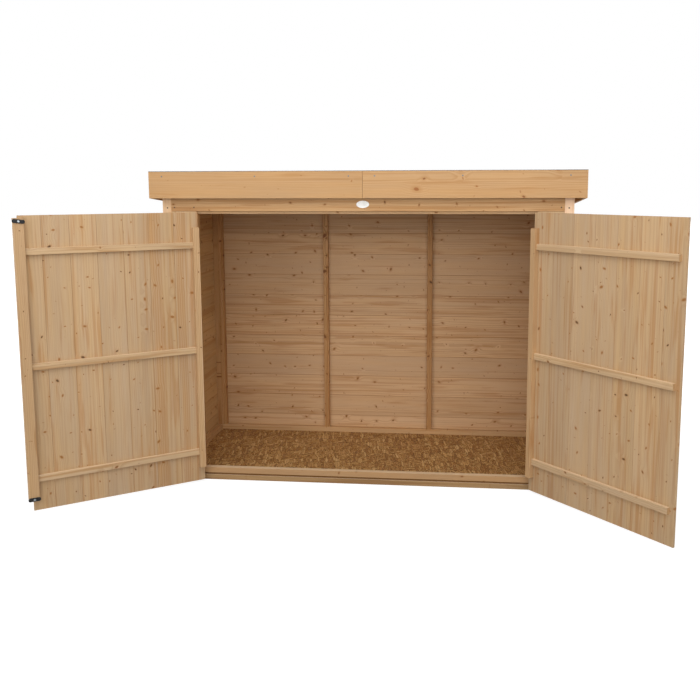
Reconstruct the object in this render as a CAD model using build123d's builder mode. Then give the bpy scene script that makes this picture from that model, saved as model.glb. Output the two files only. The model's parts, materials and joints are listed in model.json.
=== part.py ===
from build123d import *
from math import ceil, cos, floor, radians, sin, tan
import os

# Pent storage unit: timber frame, boarded walls, felted roof and two ledged doors.
# X runs left to right, Y front to back, Z up from the ground. All lengths are in millimetres.

# Walls and frames
unit_width = 1830.0          # over the side boards
frame_depth = 738.0          # front of the front frame to back of the rear frame
stock = 27.0                 # square framing timber
arris = 1.0                  # eased long edge of sawn timber
left_stud = -287.0           # middle of each rear stud
right_stud = 271.0
trim_width = 40.0            # corner trim
jamb_width = 115.0           # jamb board between the corner trim and the door
lintel_drop = 177.0          # lower edge of the lintel boards below the roof's top edge

# Boards
board = 12.0                 # thickness
cover = 111.0                # face width of one board
least_rip = 25.0             # narrowest board worth fitting
drop = 12.0                  # lower edge of boards and doors above the ground
tongue_length = 6.0
tongue_inner = 3.5           # inner face of the board to the tongue
tongue_thickness = 3.0
tongue_play = 0.4            # all round the tongue in its groove
joint_gap = 0.5              # seen between two boards
inner_arris = 0.5            # board edge on the inner face
vee = 2.5                    # vee joint on the outer face of a door board
scoop_height = 16.0          # hollow along the top of a wall board's outer face
scoop_depth = 4.5
scoop_sag = 1.6              # how far the hollow lies inside its chord

# Floor
bearer_height = 24.0
bearer_width = 45.0
floor_sheet = 9.0            # strand board
floor_setback = 6.0          # sheet behind the front of the bearers
floor_play = 1.0             # sheet and bearers inside the boards

# Roof
roof_pitch = 4.6             # degrees, falling to the rear
roof_top = 1437.0            # deck top at the face of the fascia
side_overhang = 37.5         # deck beyond the side boards
fascia_reach = 45.0          # face of the fascia in front of the front frame
fascia_height = 118.0
fascia = 12.0                # thickness of fascia and barge boards
fascia_seam = 1.0            # gap between the two fascia boards
rear_overhang = 45.0         # deck behind the rear boards
deck = 9.0                   # strand board
deck_seam = 1.0              # gap between the two sheets
felt = 2.0
felt_fold = 34.0             # felt turned down at the rear
roof_batten = 20.0           # front batten, front to back

# Doors
left_open = 143.4            # degrees from closed, as it stands
right_open = 130.9           # degrees from closed, as it stands
meeting_gap = 7.0            # between the doors when closed
hinge_gap = 3.0              # door edge to jamb board
head_gap = 3.0               # door's top to the lintel boards
header_lap = 8.0             # door's top over the header rail
door_play = 0.5              # closed door to the frame behind it
bottom_ledge_rise = 141.0    # ledge's middle above the door's lower edge
top_ledge_drop = 147.0       # ledge's middle below the door's upper edge
ledge_width = 27.0
ledge_depth = 16.0
ledge_stop = 22.0            # right door's ledges short of its free edge
batten_inset = 2.0           # hinge batten from the door's edge
batten_width = 27.0
batten_depth = 26.0
batten_stop = 67.5           # hinge batten short of the door's upper and lower edges
astragal_width = 42.0        # half on the left door, half behind the right one
astragal_play = 2.0          # ends of the astragal to the rails
astragal_relief = 0.5        # overhang clear of the right door
button_play = 0.8            # turn button behind the rails

# Tee hinges, behind the top and bottom ledges
leaf = 2.5                   # thickness of strap and plate
strap_length = 250.0
strap_root = 36.0            # width at the knuckle
strap_tip = 18.0
plate_width = 34.0
plate_knuckle = 30.0         # height of each of the plate's two knuckles
plate_corner = 3.0           # clipped corners of hinge plates and bolt plates
barrel_radius = 5.5
barrel_lift = 0.5            # jamb face to barrel
pin_diameter = 6.0
pin_head = 1.0               # pin beyond the barrel
running_clearance = 0.05     # pin in its bore, on the radius
end_clearance = 0.3          # between knuckles, and under the turn buttons
leaf_setback = 1.0           # plate clear of the strap's knuckle

# Turn buttons on the astragal
button_length = 50.0
button_width = 16.0
button_thickness = 4.0
button_edge = 1.0
top_button_drop = 12.5       # screw below the astragal's top
bottom_button_rise = 8.5     # screw above the astragal's bottom
top_button_lean = 7.0        # degrees off level, as it stands
button_screw = 5.0
button_screw_head = 10.0
button_screw_head_height = 2.5
button_screw_bite = 18.0     # length in the timber

# Pad bolt on the outside of the right door, behind the middle ledge
bolt_diameter = 10.0
bolt_length = 178.0
bolt_setback = 20.0          # tip behind the free edge when drawn
bolt_throw = 58.0
bolt_play = 0.25             # bar in its guides, on the radius
bolt_tip = 1.5               # chamfer at the tip
bolt_plate = 2.0
bolt_plate_width = 36.0
bolt_lift = 8.0              # bar's middle above the plate
guide_wall = 3.0
guide_length = 12.0
case_length = 112.0
case_setback = 18.0          # case behind the free edge
guide_inset = 3.0            # guide from the end of its plate
lug_width = 10.0
lug_thickness = 4.0
lug_reach = 20.0
lug_hole = 6.0
lug_play = 2.0               # lug short of the rear guide when drawn
ear_thickness = 3.0          # ear of the case, which the padlock joins to the lug
ear_play = 0.6               # ear clear of the bar
keeper_length = 36.0
keeper_setback = 7.0         # keeper behind the left door's free edge

# Planes and lines that the pieces share
half_width = unit_width / 2
side_face = half_width - board            # outer face of a side frame
panel_half = side_face - stock            # inner face of a side frame
front = -frame_depth / 2                  # outer face of the front frame
rear = frame_depth / 2                    # outer face of the rear frame
floor_top = bearer_height + floor_sheet
rail_top = floor_top + stock
trim_edge = half_width - trim_width
jamb_edge = trim_edge - jamb_width
opening_half = jamb_edge - hinge_gap
lintel_bottom = roof_top - lintel_drop
fascia_face = front - fascia_reach
fascia_back = fascia_face + fascia
roof_rear = rear + board + rear_overhang
barge_back = half_width + side_overhang
barge_face = barge_back + fascia
slope = tan(radians(roof_pitch))
upright = 1 / cos(radians(roof_pitch))    # vertical measure of a thickness square to the roof

door_width = opening_half - meeting_gap / 2
door_back = front - door_play             # inner face of a closed door
door_face = door_back - board
door_top = lintel_bottom - head_gap
door_height = door_top - drop
opening_top = door_top - header_lap       # underside of the header rail
ledge_heights = {"bottom": drop + bottom_ledge_rise, "top": door_top - top_ledge_drop}
hinge_heights = tuple(ledge_heights.values())
bolt_height = sum(hinge_heights) / 2
ledge_heights["middle"] = bolt_height
pin_x = opening_half + hinge_gap / 2
pin_y = front - board - barrel_lift - barrel_radius
sides = {"left": -1, "right": 1}
swing_angle = {"left": -left_open, "right": right_open}


def deck_top(y):
    return roof_top - (y - fascia_face) * slope


def deck_under(y):
    return deck_top(y) - deck * upright


roof_plane = Plane(
    origin=(0, front, deck_under(front)),
    x_dir=(1, 0, 0),
    z_dir=(0, sin(radians(roof_pitch)), cos(radians(roof_pitch))),
)


def save(piece, name):
    piece.label = name
    export_step(piece, f"parts/{name}.step")


def swung(piece, side):
    """A piece of a closed door, turned about the hinge pin to where the door stands."""
    return piece.rotate(Axis((sides[side] * pin_x, pin_y, 0), (0, 0, 1)), swing_angle[side])


def timber(grain, *spans):
    """Straight timbers with eased long edges, each given by its spans along X, Y and Z."""
    with BuildPart() as piece:
        for (x0, x1), (y0, y1), (z0, z1) in spans:
            with BuildSketch(Plane.XY.offset(z0)):
                with Locations(((x0 + x1) / 2, (y0 + y1) / 2)):
                    Rectangle(abs(x1 - x0), abs(y1 - y0))
            extrude(amount=z1 - z0)
        chamfer(piece.edges().filter_by(grain), arris)
    return piece.part


def bevelled(outline, *x_spans):
    """Timbers with one outline in the YZ plane, each drawn out over its span along X."""
    with BuildPart() as piece:
        for x0, x1 in x_spans:
            with BuildSketch(Plane.YZ.offset(x0)):
                Polygon(*outline, align=None)
            extrude(amount=x1 - x0)
    return piece.part


def boarding(start, across, outward, length, widths, scooped=False, roofed=False):
    """Tongued and grooved boards, side by side from start, which is at the middle of their length.

    A scooped board has a hollow along its leading edge, and the others have vee joints.
    """
    tongue_outer = tongue_inner + tongue_thickness
    groove_depth = tongue_length - joint_gap + tongue_play
    with BuildPart() as wall:
        edge = Vector(*start)
        for index, width in enumerate(widths):
            first, last = index == 0, index == len(widths) - 1
            lead = width if last else width - joint_gap
            with BuildSketch(Plane(edge, x_dir=across, z_dir=Vector(*across).cross(Vector(*outward)))):
                with BuildLine():
                    groove = [] if first else [
                        (0, tongue_outer + tongue_play),
                        (groove_depth, tongue_outer + tongue_play),
                        (groove_depth, tongue_inner - tongue_play),
                        (0, tongue_inner - tongue_play),
                    ]
                    tongue = [] if last else [
                        (lead, tongue_inner),
                        (lead + tongue_length, tongue_inner),
                        (lead + tongue_length, tongue_outer),
                        (lead, tongue_outer),
                    ]
                    trailing = [(vee, board), (0, board - vee), *groove, (0, inner_arris), (inner_arris, 0)]
                    leading = [(lead - inner_arris, 0), (lead, inner_arris), *tongue]
                    if scooped and not last:
                        lip = (lead, board - scoop_depth)
                        brow = (lead - scoop_height, board)
                        hollow = (lead - scoop_height / 2, board - scoop_depth / 2 - scoop_sag)
                        Polyline(brow, *trailing, *leading, lip)
                        ThreePointArc(lip, hollow, brow)
                    else:
                        shoulder = [(lead, board - vee), (lead - vee, board)]
                        Polyline(*trailing, *leading, *shoulder, close=True)
                make_face()
            extrude(amount=length / 2, both=True)
            edge = edge + Vector(*across) * width
        if roofed:
            split(bisect_by=roof_plane, keep=Keep.BOTTOM)
    return wall.part


def board_widths(span):
    """Full boards over a span, with a ripped one at the end, or two where one would be too narrow."""
    count = floor(span / cover)
    rest = span - count * cover
    if rest < least_rip:
        return [cover] * (count - 1) + [(cover + rest) / 2] * 2
    return [cover] * count + [rest]


os.makedirs("parts", exist_ok=True)

# Floor: three bearers under one sheet, inside the lower edge of the wall boards
bearer_half = side_face - floor_play
bearer_rows = [
    (front, front + bearer_width),
    (-bearer_width / 2, bearer_width / 2),
    (rear - bearer_width, rear),
]
floor_bearers = timber(
    Axis.X, *[((-bearer_half, bearer_half), row, (0, bearer_height)) for row in bearer_rows]
)
save(floor_bearers, "floor_bearers")

with BuildPart() as floor_panel:
    with BuildSketch(Plane.XY.offset(bearer_height)):
        with Locations((0, floor_setback / 2)):
            Rectangle(2 * bearer_half, frame_depth - floor_setback)
    extrude(amount=floor_sheet)
save(floor_panel.part, "floor_sheet")

# Front frame: posts between the bottom rail and the top plate, and a header over the opening
front_back = front + stock
plate_low = deck_under(front_back) - stock
panel_span = (-panel_half, panel_half)
save(timber(Axis.X, (panel_span, (front, front_back), (floor_top, rail_top))), "front_bottom_rail")
save(
    timber(
        Axis.X, ((-opening_half, opening_half), (front, front_back), (opening_top, opening_top + stock))
    ),
    "front_header_rail",
)
save(
    bevelled(
        [
            (front, plate_low),
            (front_back, plate_low),
            (front_back, deck_under(front_back)),
            (front, deck_under(front)),
        ],
        panel_span,
    ),
    "front_top_plate",
)
for name, inner in (("front_corner_posts", panel_half - stock), ("front_hinge_posts", opening_half)):
    post_spans = [
        (sorted((side * inner, side * (inner + stock))), (front, front_back), (rail_top, plate_low))
        for side in sides.values()
    ]
    save(timber(Axis.Z, *post_spans), name)

# Front facing: a jamb board each side, lintel boards between the corner trims
for name, side in sides.items():
    jamb_span = sorted((side * jamb_edge, side * trim_edge))
    save(timber(Axis.Z, (jamb_span, (front - board, front), (drop, lintel_bottom))), f"jamb_board_{name}")

lintel_widths = [cover] * ceil((deck_under(front) - lintel_bottom) / cover)
save(
    boarding((0, front, lintel_bottom), (0, 0, 1), (0, -1, 0), 2 * trim_edge, lintel_widths, roofed=True),
    "lintel_boards",
)

for wall, wall_y in (("front", (front - board, front)), ("rear", (rear, rear + board))):
    for name, side in sides.items():
        trim_span = sorted((side * trim_edge, side * half_width))
        with BuildPart() as trim:
            with BuildSketch(Plane.XY.offset(drop)):
                with Locations((sum(trim_span) / 2, sum(wall_y) / 2)):
                    Rectangle(trim_width, board)
            extrude(amount=roof_top - drop)
            chamfer(trim.edges().filter_by(Axis.Z), arris)
            split(bisect_by=roof_plane, keep=Keep.BOTTOM)
        save(trim.part, f"{wall}_trim_{name}")

# Side walls: posts between the bottom rail and a top rail that follows the roof
rail_depth = stock * upright
for name, side in sides.items():
    frame_span = sorted((side * panel_half, side * side_face))
    save(
        timber(Axis.Y, (frame_span, (front, rear), (floor_top, rail_top))), f"{name}_side_bottom_rail"
    )
    save(
        bevelled(
            [
                (front, deck_under(front) - rail_depth),
                (rear, deck_under(rear) - rail_depth),
                (rear, deck_under(rear)),
                (front, deck_under(front)),
            ],
            frame_span,
        ),
        f"{name}_side_top_rail",
    )
    with BuildPart() as side_posts:
        for post_y in (front, rear - stock):
            with BuildSketch(Plane.YZ.offset(frame_span[0])):
                Polygon(
                    (post_y, rail_top),
                    (post_y + stock, rail_top),
                    (post_y + stock, deck_under(post_y + stock) - rail_depth),
                    (post_y, deck_under(post_y) - rail_depth),
                    align=None,
                )
            extrude(amount=stock)
        chamfer(side_posts.edges().filter_by(Axis.Z), arris)
    save(side_posts.part, f"{name}_side_posts")
    side_widths = [cover] * ceil((deck_under(front) - drop) / cover)
    side_boards = boarding(
        (side * side_face, 0, drop), (0, 0, 1), (side, 0, 0), frame_depth, side_widths, True, True
    )
    save(side_boards, f"{name}_side_boards")

# Rear wall: studs between a bottom rail and a top plate
rear_front = rear - stock
rear_plate_low = deck_under(rear) - stock
save(timber(Axis.X, (panel_span, (rear_front, rear), (floor_top, rail_top))), "rear_bottom_rail")
save(
    bevelled(
        [
            (rear_front, rear_plate_low),
            (rear, rear_plate_low),
            (rear, deck_under(rear)),
            (rear_front, deck_under(rear_front)),
        ],
        panel_span,
    ),
    "rear_top_plate",
)
corner_middle = panel_half - stock / 2
for name, middles in (
    ("rear_corner_posts", (-corner_middle, corner_middle)),
    ("rear_studs", (left_stud, right_stud)),
):
    post_spans = [
        ((x - stock / 2, x + stock / 2), (rear_front, rear), (rail_top, rear_plate_low)) for x in middles
    ]
    save(timber(Axis.Z, *post_spans), name)

rear_widths = board_widths(deck_under(rear + board) - drop)
save(
    boarding((0, rear, drop), (0, 0, 1), (0, 1, 0), 2 * trim_edge, rear_widths, scooped=True),
    "rear_boards",
)

# Roof: two sheets on the walls and the joint bearer, battens under the overhang, felt over all
deck_outline = [
    (fascia_back, deck_under(fascia_back)),
    (roof_rear, deck_under(roof_rear)),
    (roof_rear, deck_top(roof_rear)),
    (fascia_back, deck_top(fascia_back)),
]
for name, side in sides.items():
    save(bevelled(deck_outline, sorted((side * deck_seam / 2, side * barge_back))), f"roof_sheet_{name}")


def under_deck(y0, y1):
    """Outline of a timber of stock height that hangs under the deck from y0 to y1."""
    return [
        (y0, deck_under(y0) - stock),
        (y1, deck_under(y1) - stock),
        (y1, deck_under(y1)),
        (y0, deck_under(y0)),
    ]


front_batten_back = fascia_back + roof_batten
rear_batten_front = roof_rear - stock
deck_span = (-barge_back, barge_back)
side_batten_spans = [sorted((side * (barge_back - stock), side * barge_back)) for side in sides.values()]
save(bevelled(under_deck(front_back, rear_front), (-stock / 2, stock / 2)), "roof_joint_bearer")
save(bevelled(under_deck(fascia_back, front_batten_back), deck_span), "roof_front_batten")
save(bevelled(under_deck(rear_batten_front, roof_rear), deck_span), "roof_rear_batten")
save(bevelled(under_deck(front_batten_back, rear_batten_front), *side_batten_spans), "roof_side_battens")

fascia_bottom = roof_top - fascia_height
for name, side in sides.items():
    save(
        bevelled(
            [
                (fascia_face, fascia_bottom),
                (fascia_back, fascia_bottom),
                (fascia_back, deck_top(fascia_back)),
                (fascia_face, deck_top(fascia_face)),
            ],
            sorted((side * fascia_seam / 2, side * barge_face)),
        ),
        f"fascia_{name}",
    )
    save(
        bevelled(
            [
                (fascia_back, deck_top(fascia_back) - fascia_height),
                (roof_rear, deck_top(roof_rear) - fascia_height),
                (roof_rear, deck_top(roof_rear)),
                (fascia_back, deck_top(fascia_back)),
            ],
            sorted((side * barge_back, side * barge_face)),
        ),
        f"barge_board_{name}",
    )

felt_outline = [
    (fascia_face, deck_top(fascia_face)),
    (roof_rear, deck_top(roof_rear)),
    (roof_rear, deck_top(roof_rear) - felt_fold),
    (roof_rear + felt, deck_top(roof_rear) - felt_fold),
    (roof_rear + felt, deck_top(roof_rear) + felt * upright),
    (fascia_face, deck_top(fascia_face) + felt * upright),
]
save(bevelled(felt_outline, (-barge_face, barge_face)), "roof_felt")

# Doors: boards, ledges and a hinge batten, drawn closed and then turned to where they stand
astragal_edge = door_width - astragal_width / 2
ledge_end = {"left": astragal_edge, "right": door_width - ledge_stop}
ledge_start = batten_inset + batten_width
for name, side in sides.items():
    door_boards = boarding(
        (side * opening_half, door_back, drop + door_height / 2),
        (-side, 0, 0),
        (0, -1, 0),
        door_height,
        board_widths(door_width),
    )
    save(swung(door_boards, name), f"{name}_door_boards")

    batten_span = sorted((side * (opening_half - batten_inset), side * (opening_half - ledge_start)))
    batten_z = (drop + batten_stop, door_top - batten_stop)
    hinge_batten = timber(Axis.Z, (batten_span, (door_back, door_back + batten_depth), batten_z))
    save(swung(hinge_batten, name), f"{name}_door_hinge_batten")

    ledge_span = sorted((side * (opening_half - ledge_start), side * (opening_half - ledge_end[name])))
    for place, height in ledge_heights.items():
        ledge_z = (height - ledge_width / 2, height + ledge_width / 2)
        ledge = timber(Axis.X, (ledge_span, (door_back, door_back + ledge_depth), ledge_z))
        save(swung(ledge, name), f"{name}_door_ledge_{place}")

# Astragal on the left door: half of it lies behind the right door, with the turn buttons on its face
astragal_low = rail_top + astragal_play
astragal_high = opening_top - astragal_play
astragal_face = front + stock + button_play - end_clearance
astragal_x = door_width - opening_half
button_heights = {"top": astragal_high - top_button_drop, "bottom": astragal_low + bottom_button_rise}
with BuildPart() as astragal:
    with BuildSketch(Plane.XY.offset(astragal_low)):
        Polygon(
            (astragal_x - astragal_width / 2, door_back),
            (astragal_x, door_back),
            (astragal_x, door_back + astragal_relief),
            (astragal_x + astragal_width / 2, door_back + astragal_relief),
            (astragal_x + astragal_width / 2, astragal_face),
            (astragal_x - astragal_width / 2, astragal_face),
            align=None,
        )
    extrude(amount=astragal_high - astragal_low)
    face_edges = astragal.edges().filter_by(Axis.Z).group_by(Axis.Y)[-1]
    chamfer(face_edges, arris)
    with BuildSketch(Plane.XZ.offset(-astragal_face)):
        with Locations(*[(astragal_x, height) for height in button_heights.values()]):
            Circle(button_screw / 2)
    extrude(amount=button_screw_bite, mode=Mode.SUBTRACT)
save(swung(astragal.part, "left"), "left_door_astragal")

# Turn buttons: level or nearly so as they stand, upright to catch behind the rails
button_back = astragal_face + end_clearance
button_face = button_back + button_thickness
button_leans = {"top": top_button_lean, "bottom": 0}
for place, height in button_heights.items():
    with BuildPart() as button:
        with BuildSketch(Plane.XZ.offset(-button_face)):
            with Locations((astragal_x, height)):
                SlotOverall(button_length, button_width, rotation=button_leans[place])
                Circle(button_screw / 2 + running_clearance, mode=Mode.SUBTRACT)
        extrude(amount=button_thickness)
        chamfer(button.faces().sort_by(Axis.Y)[-1].outer_wire().edges(), button_edge)
    save(swung(button.part, "left"), f"turn_button_{place}")

head_start = button_face + end_clearance
with BuildPart() as button_screws:
    for height in button_heights.values():
        with BuildSketch(Plane.XZ.offset(-head_start)):
            with Locations((astragal_x, height)):
                Circle(button_screw / 2)
        extrude(amount=head_start - astragal_face + button_screw_bite)
        with BuildSketch(Plane.XZ.offset(-head_start)):
            with Locations((astragal_x, height)):
                Circle(button_screw_head / 2)
        extrude(amount=-button_screw_head_height, taper=25)
save(swung(button_screws.part, "left"), "turn_button_screws")

# Tee hinges: the strap's knuckle turns on the pin between the two knuckles of the cross plate
strap_back = door_face
plate_back = front - board
stack_half = strap_root / 2 + end_clearance + plate_knuckle
bore_radius = pin_diameter / 2 + running_clearance
plate_start = barrel_radius + leaf_setback


def hinge_straps(side):
    """Both straps of one door, with the middle knuckle rolled at the root."""
    with BuildPart() as straps:
        for height in hinge_heights:
            with BuildSketch(Plane.XZ.offset(-strap_back)):
                with BuildLine():
                    tip = strap_length - strap_tip / 2
                    reach = [side * (pin_x - along) for along in (0, plate_start, tip, strap_length)]
                    Polyline(
                        (reach[2], height + strap_tip / 2),
                        (reach[1], height + strap_root / 2),
                        (reach[0], height + strap_root / 2),
                        (reach[0], height - strap_root / 2),
                        (reach[1], height - strap_root / 2),
                        (reach[2], height - strap_tip / 2),
                    )
                    ThreePointArc(
                        (reach[2], height - strap_tip / 2),
                        (reach[3], height),
                        (reach[2], height + strap_tip / 2),
                    )
                make_face()
            extrude(amount=leaf)
            with BuildSketch(Plane.XY.offset(height - strap_root / 2)):
                with Locations((side * pin_x, pin_y)):
                    Circle(barrel_radius)
            extrude(amount=strap_root)
            with BuildSketch(Plane.XY.offset(height - strap_root / 2)):
                with Locations((side * pin_x, pin_y)):
                    Circle(bore_radius)
            extrude(amount=strap_root, mode=Mode.SUBTRACT)
    return straps.part


for name, side in sides.items():
    save(swung(hinge_straps(side), name), f"{name}_hinge_straps")

knuckle_starts = (-stack_half, strap_root / 2 + end_clearance)
with BuildPart() as hinge_plates:
    for side in sides.values():
        for height in hinge_heights:
            with BuildSketch(Plane.XZ.offset(-plate_back)) as plate_outline:
                with Locations((side * (pin_x + plate_start + plate_width / 2), height)):
                    Rectangle(plate_width, 2 * stack_half)
                chamfer(plate_outline.vertices(), plate_corner)
                tab = plate_start + plate_corner
                for start in knuckle_starts:
                    with Locations((side * (pin_x + tab / 2), height + start + plate_knuckle / 2)):
                        Rectangle(tab, plate_knuckle)
            extrude(amount=leaf)
            for start in knuckle_starts:
                with BuildSketch(Plane.XY.offset(height + start)):
                    with Locations((side * pin_x, pin_y)):
                        Circle(barrel_radius)
                extrude(amount=plate_knuckle)
                with BuildSketch(Plane.XY.offset(height + start)):
                    with Locations((side * pin_x, pin_y)):
                        Circle(bore_radius)
                extrude(amount=plate_knuckle, mode=Mode.SUBTRACT)
save(hinge_plates.part, "hinge_plates")

with BuildPart() as hinge_pins:
    for side in sides.values():
        for height in hinge_heights:
            with BuildSketch(Plane.XY.offset(height - stack_half - pin_head)):
                with Locations((side * pin_x, pin_y)):
                    Circle(pin_diameter / 2)
            extrude(amount=2 * (stack_half + pin_head))
save(hinge_pins.part, "hinge_pins")

# Pad bolt: the bar slides in two guides on the right door and enters the keeper on the left one
meeting_x = opening_half - door_width
plate_face = door_face - bolt_plate
bar_y = plate_face - bolt_lift
guide_bore = bolt_diameter / 2 + bolt_play
guide_radius = guide_bore + guide_wall
lug_tip = bar_y - bolt_diameter / 2 - lug_reach + lug_width / 2


def lug_sketch(x, root_y, z):
    """Round-ended lug with a hole for the padlock, standing out from root_y."""
    with BuildSketch(Plane.XY.offset(z)) as lug:
        with Locations((x, (root_y + lug_tip) / 2)):
            Rectangle(lug_width, root_y - lug_tip)
        with Locations((x, lug_tip)):
            Circle(lug_width / 2)
            Circle(lug_hole / 2, mode=Mode.SUBTRACT)
    return lug.sketch


def bolt_housing(plate_x, guide_starts, ears=()):
    """A plate on the door's face with round-backed guides standing on it, and ears for a padlock."""
    with BuildPart() as housing:
        with BuildSketch(Plane.XZ.offset(-door_face)) as plate_outline:
            with Locations((sum(plate_x) / 2, bolt_height)):
                Rectangle(plate_x[1] - plate_x[0], bolt_plate_width)
            chamfer(plate_outline.vertices(), plate_corner)
        extrude(amount=bolt_plate)
        for start in guide_starts:
            with BuildSketch(Plane.YZ.offset(start)):
                with Locations(((plate_face + bar_y) / 2, bolt_height)):
                    Rectangle(bolt_lift, 2 * guide_radius)
                with Locations((bar_y, bolt_height)):
                    Circle(guide_radius)
            extrude(amount=guide_length)
            with BuildSketch(Plane.YZ.offset(start)):
                with Locations((bar_y, bolt_height)):
                    Circle(guide_bore)
            extrude(amount=guide_length, mode=Mode.SUBTRACT)
        ear_z = bolt_height + bolt_diameter / 2 + ear_play
        for x in ears:
            extrude(lug_sketch(x, plate_face, ear_z), amount=ear_thickness)
    return housing.part


case_start = meeting_x + case_setback
case_end = case_start + case_length
rear_guide = case_end - guide_inset - guide_length
case_guides = (case_start + guide_inset, rear_guide)
lug_x = rear_guide - lug_play - lug_width / 2
pad_bolt_case = bolt_housing((case_start, case_end), case_guides, ears=[lug_x - bolt_throw])
save(swung(pad_bolt_case, "right"), "pad_bolt_case")

keeper_end = -meeting_x - keeper_setback
keeper_start = keeper_end - keeper_length
keeper_guide = (keeper_start + keeper_end - guide_length) / 2
save(swung(bolt_housing((keeper_start, keeper_end), [keeper_guide]), "left"), "pad_bolt_keeper")

bar_start = meeting_x + bolt_setback
with BuildPart() as pad_bolt_bar:
    with BuildSketch(Plane.YZ.offset(bar_start)):
        with Locations((bar_y, bolt_height)):
            Circle(bolt_diameter / 2)
    extrude(amount=bolt_length)
    chamfer(pad_bolt_bar.edges().filter_by(GeomType.CIRCLE).sort_by(Axis.X)[0], bolt_tip)
    extrude(lug_sketch(lug_x, bar_y, bolt_height - lug_thickness / 2), amount=lug_thickness)
save(swung(pad_bolt_bar.part, "right"), "pad_bolt_bar")
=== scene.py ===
import json
import math

import bmesh
import bpy
from mathutils import Matrix, Vector

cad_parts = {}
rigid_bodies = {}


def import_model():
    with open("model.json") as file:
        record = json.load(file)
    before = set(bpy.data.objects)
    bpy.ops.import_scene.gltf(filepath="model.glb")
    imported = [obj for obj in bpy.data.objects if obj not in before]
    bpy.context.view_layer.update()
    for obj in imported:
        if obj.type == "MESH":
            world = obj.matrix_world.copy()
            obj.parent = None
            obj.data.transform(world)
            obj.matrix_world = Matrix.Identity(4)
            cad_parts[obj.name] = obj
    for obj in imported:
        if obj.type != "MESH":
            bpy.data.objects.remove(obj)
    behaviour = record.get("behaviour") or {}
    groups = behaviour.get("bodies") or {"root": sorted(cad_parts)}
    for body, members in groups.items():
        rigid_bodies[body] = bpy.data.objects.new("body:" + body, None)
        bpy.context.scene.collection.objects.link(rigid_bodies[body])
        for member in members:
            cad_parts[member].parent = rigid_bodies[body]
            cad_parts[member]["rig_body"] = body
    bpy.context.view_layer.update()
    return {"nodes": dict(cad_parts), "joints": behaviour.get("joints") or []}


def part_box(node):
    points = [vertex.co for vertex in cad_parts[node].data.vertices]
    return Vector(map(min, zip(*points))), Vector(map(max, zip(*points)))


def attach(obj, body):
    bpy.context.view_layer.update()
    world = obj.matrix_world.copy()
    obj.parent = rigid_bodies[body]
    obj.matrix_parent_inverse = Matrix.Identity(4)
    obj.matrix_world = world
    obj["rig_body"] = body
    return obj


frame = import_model()
nodes = frame["nodes"]
joints = {joint["name"]: joint for joint in frame["joints"]}
print("frame loaded,", len(nodes), "nodes")


# Doors: each one turns back about its pin to where it hangs when closed, which is how its timber is laid out

boardCover = 0.111           # what one board of a door or a wall covers
doorHang = {
    "pinToEdge": 0.0015,     # hinge pin to the door's edge
    "boardCount": 7,
}


def closingTurn(side):
    joint = joints[side + "_door_hinge"]
    angle = math.radians(joint["range_deg"][0]) * joint["axis"][2]
    pin = Matrix.Translation(Vector(joint["pos_m"]))
    return pin @ Matrix.Rotation(angle, 4, "Z") @ pin.inverted()


closing = {side: closingTurn(side) for side in ("left", "right")}
opening = {side: turn.inverted() for side, turn in closing.items()}
pins = {side: Vector(joints[side + "_door_hinge"]["pos_m"]) for side in closing}
handed = {"left": -1, "right": 1}


def sideOf(nodeName):     # the door that a node hangs on, or None
    body = nodes[nodeName]["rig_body"]
    return body.split("_")[0] if body in ("left_door", "right_door") else None


def closedBox(nodeName):     # a node's box, with its door closed
    side = sideOf(nodeName)
    turn = closing[side] if side else Matrix.Identity(4)
    points = [turn @ vertex.co for vertex in nodes[nodeName].data.vertices]
    low = Vector([min(point[axis] for point in points) for axis in range(3)])
    high = Vector([max(point[axis] for point in points) for axis in range(3)])
    return low, high


# Shader helpers

def hexColour(text):     # screen colour to the linear values that shaders take
    channels = [int(text[start:start + 2], 16) / 255 for start in (1, 3, 5)]
    linear = [c / 12.92 if c <= 0.04045 else ((c + 0.055) / 1.055) ** 2.4 for c in channels]
    return (*linear, 1.0)


def feed(tree, socket, value):     # a link, a screen colour or a plain value
    if isinstance(value, bpy.types.NodeSocket):
        tree.links.new(value, socket)
    else:
        socket.default_value = hexColour(value) if isinstance(value, str) else value


def mathNode(tree, operation, *values):
    node = tree.nodes.new("ShaderNodeMath")
    node.operation = operation
    for socket, value in zip(node.inputs, values):
        feed(tree, socket, value)
    return node.outputs[0]


def plus(tree, first, second):
    return mathNode(tree, "ADD", first, second)


def minus(tree, first, second):
    return mathNode(tree, "SUBTRACT", first, second)


def times(tree, first, second):
    return mathNode(tree, "MULTIPLY", first, second)


def timesPlus(tree, first, second, third):
    return mathNode(tree, "MULTIPLY_ADD", first, second, third)


def smoothRange(tree, value, fromLow, fromHigh, toLow=0.0, toHigh=1.0):
    node = tree.nodes.new("ShaderNodeMapRange")
    node.interpolation_type = "SMOOTHSTEP"
    for socket, entry in zip(node.inputs, (value, fromLow, fromHigh, toLow, toHigh)):
        feed(tree, socket, entry)
    return node.outputs[0]


def mixColours(tree, amount, first, second, blend="MIX"):
    node = tree.nodes.new("ShaderNodeMix")
    node.data_type = "RGBA"
    node.blend_type = blend
    for index, value in ((0, amount), (6, first), (7, second)):     # a mix node's sockets for colours
        feed(tree, node.inputs[index], value)
    return node.outputs[2]


def pointAt(tree, x, y, z=0.0):
    node = tree.nodes.new("ShaderNodeCombineXYZ")
    for socket, value in zip(node.inputs, (x, y, z)):
        feed(tree, socket, value)
    return node.outputs[0]


def partsOf(tree, kind, value):
    node = tree.nodes.new(kind)
    feed(tree, node.inputs[0], value)
    return node.outputs[0], node.outputs[1], node.outputs[2]


def axesOf(tree, vector):
    return partsOf(tree, "ShaderNodeSeparateXYZ", vector)


def drawsOf(tree, colour):     # the three random numbers in a cell's or a draw's colour
    return partsOf(tree, "ShaderNodeSeparateColor", colour)


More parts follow.
